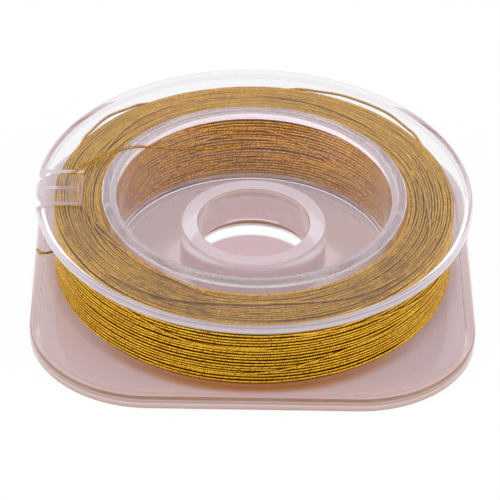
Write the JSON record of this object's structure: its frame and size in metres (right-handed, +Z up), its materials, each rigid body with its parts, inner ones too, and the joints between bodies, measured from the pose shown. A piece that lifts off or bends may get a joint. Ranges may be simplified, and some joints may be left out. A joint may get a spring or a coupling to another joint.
{
  "type": "thread spool",
  "caption": "Clear two-piece spool with a rounded-square base, round flange, hub boss and flexing thread lock, wound with metallic thread whose free end lies across the flange.",
  "frame": {"origin": "centre of the plane that the base stands on, below the middle of the spindle hole", "axes": "+Z up along the spool's axis, -X towards the thread lock, +X and +Y square to the base's sides"},
  "size_m": [0.0606, 0.0606, 0.0144],
  "materials": {
    "clear_base": "clear, polished, with a faint rose tint",
    "clear_flange": "clear, polished",
    "gold_thread": "metallic film thread, fine twist, bright gold with dark brown gaps"
  },
  "bodies": {
    "spool": {"base_moulding": "clear_base", "top_flange": "clear_flange", "thread_core": "gold_thread", "thread_turns": "gold_thread", "thread_tail": "gold_thread"},
    "lock": {"lock_tongue": "clear_flange"}
  },
  "joints": [
    {"name": "lock_flex", "type": "hinge", "parent": "spool", "child": "lock", "pos_m": [-0.02385, 0, 0.0136], "axis": [0, 1, 0], "range_deg": [0, 12], "stiffness_Nm_per_rad": 0.005}
  ]
}
